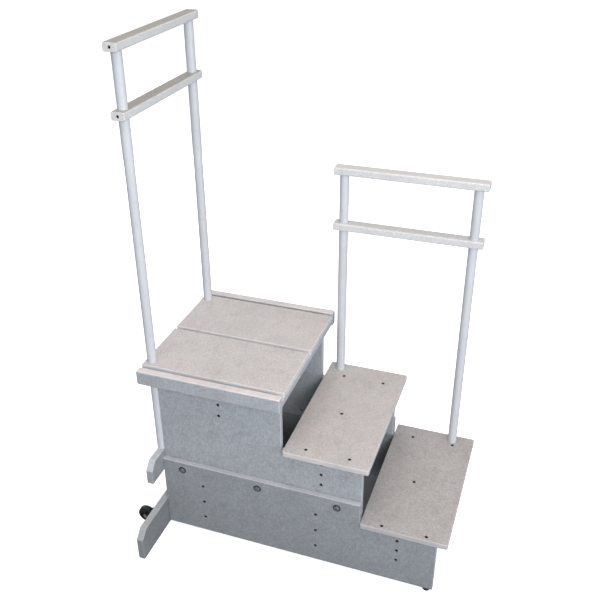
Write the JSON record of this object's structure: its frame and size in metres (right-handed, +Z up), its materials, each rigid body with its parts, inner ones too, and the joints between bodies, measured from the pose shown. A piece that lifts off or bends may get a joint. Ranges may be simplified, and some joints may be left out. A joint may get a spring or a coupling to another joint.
{
  "type": "mounting block",
  "caption": "Stepped plastic-board mounting block with open risers, a wide platform, handrails at the tall end and along the rear side, outrigger arms and tipping wheels.",
  "frame": {"origin": "on the floor, at the middle of the block's outline in length and width", "axes": "+X towards the low end, -Y the front side without a handrail, +Y the rear side with the side handrail, +Z up"},
  "size_m": [1.0564, 0.845, 1.66],
  "materials": {
    "board": "stone-grey solid plastic lumber, fine speckle, satin",
    "tread_board": "stone-grey solid plastic lumber, fine speckle, matt anti-slip texture",
    "handrail": "off-white plastic, satin",
    "dark_bolt": "black-coated steel, satin",
    "zinc": "zinc-plated steel",
    "screw_steel": "black phosphate-coated steel",
    "fork_steel": "black-coated pressed steel",
    "axle_steel": "plated steel",
    "wheel_plastic": "black moulded plastic",
    "wheel_rubber": "black rubber, matt",
    "foot_rubber": "black rubber, matt"
  },
  "bodies": {
    "block": {"lower_front_panel": "board", "lower_rear_panel": "board", "lower_cross_board_tall_end": "board", "lower_cross_board_middle": "board", "bottom_tread_cross_board": "board", "upper_front_panel": "board", "upper_rear_panel": "board", "platform_cross_board": "board", "middle_tread_cross_board": "board", "lower_arm": "board", "upper_arm": "board", "platform_base": "board", "platform_front_board": "tread_board", "platform_rear_board": "tread_board", "platform_front_rail": "tread_board", "platform_rear_rail": "tread_board", "middle_tread": "tread_board", "bottom_tread": "tread_board", "end_rail_front_post": "handrail", "end_rail_rear_post": "handrail", "end_rail_top_bar": "handrail", "end_rail_lower_bar": "handrail", "side_rail_middle_post": "handrail", "side_rail_low_post": "handrail", "side_rail_top_bar": "handrail", "side_rail_lower_bar": "handrail", "joining_bolts": "dark_bolt", "joining_washers": "dark_bolt", "side_post_bolts": "dark_bolt", "joining_inserts": "zinc", "side_post_nuts": "zinc", "lower_side_screws": "screw_steel", "upper_side_screws": "screw_steel", "middle_tread_screws": "screw_steel", "bottom_tread_screws": "screw_steel", "arm_screws": "screw_steel", "platform_base_screws": "screw_steel", "platform_deck_screws": "screw_steel", "rail_bar_screws": "screw_steel", "end_post_screws": "screw_steel", "wheel_fork_screws": "screw_steel", "rubber_foot_screws": "screw_steel", "front_wheel_fork": "fork_steel", "rear_wheel_fork": "fork_steel", "front_wheel_axle": "axle_steel", "rear_wheel_axle": "axle_steel", "rubber_feet": "foot_rubber"},
    "front_wheel": {"front_wheel_hub": "wheel_plastic", "front_wheel_tyre": "wheel_rubber"},
    "rear_wheel": {"rear_wheel_hub": "wheel_plastic", "rear_wheel_tyre": "wheel_rubber"}
  },
  "joints": [
    {"name": "front_wheel_spin", "type": "hinge", "parent": "block", "child": "front_wheel", "pos_m": [-0.49925, -0.2885, 0.068], "axis": [0, 1, 0], "continuous": true},
    {"name": "rear_wheel_spin", "type": "hinge", "parent": "block", "child": "rear_wheel", "pos_m": [-0.49925, 0.2885, 0.068], "axis": [0, 1, 0], "continuous": true}
  ]
}
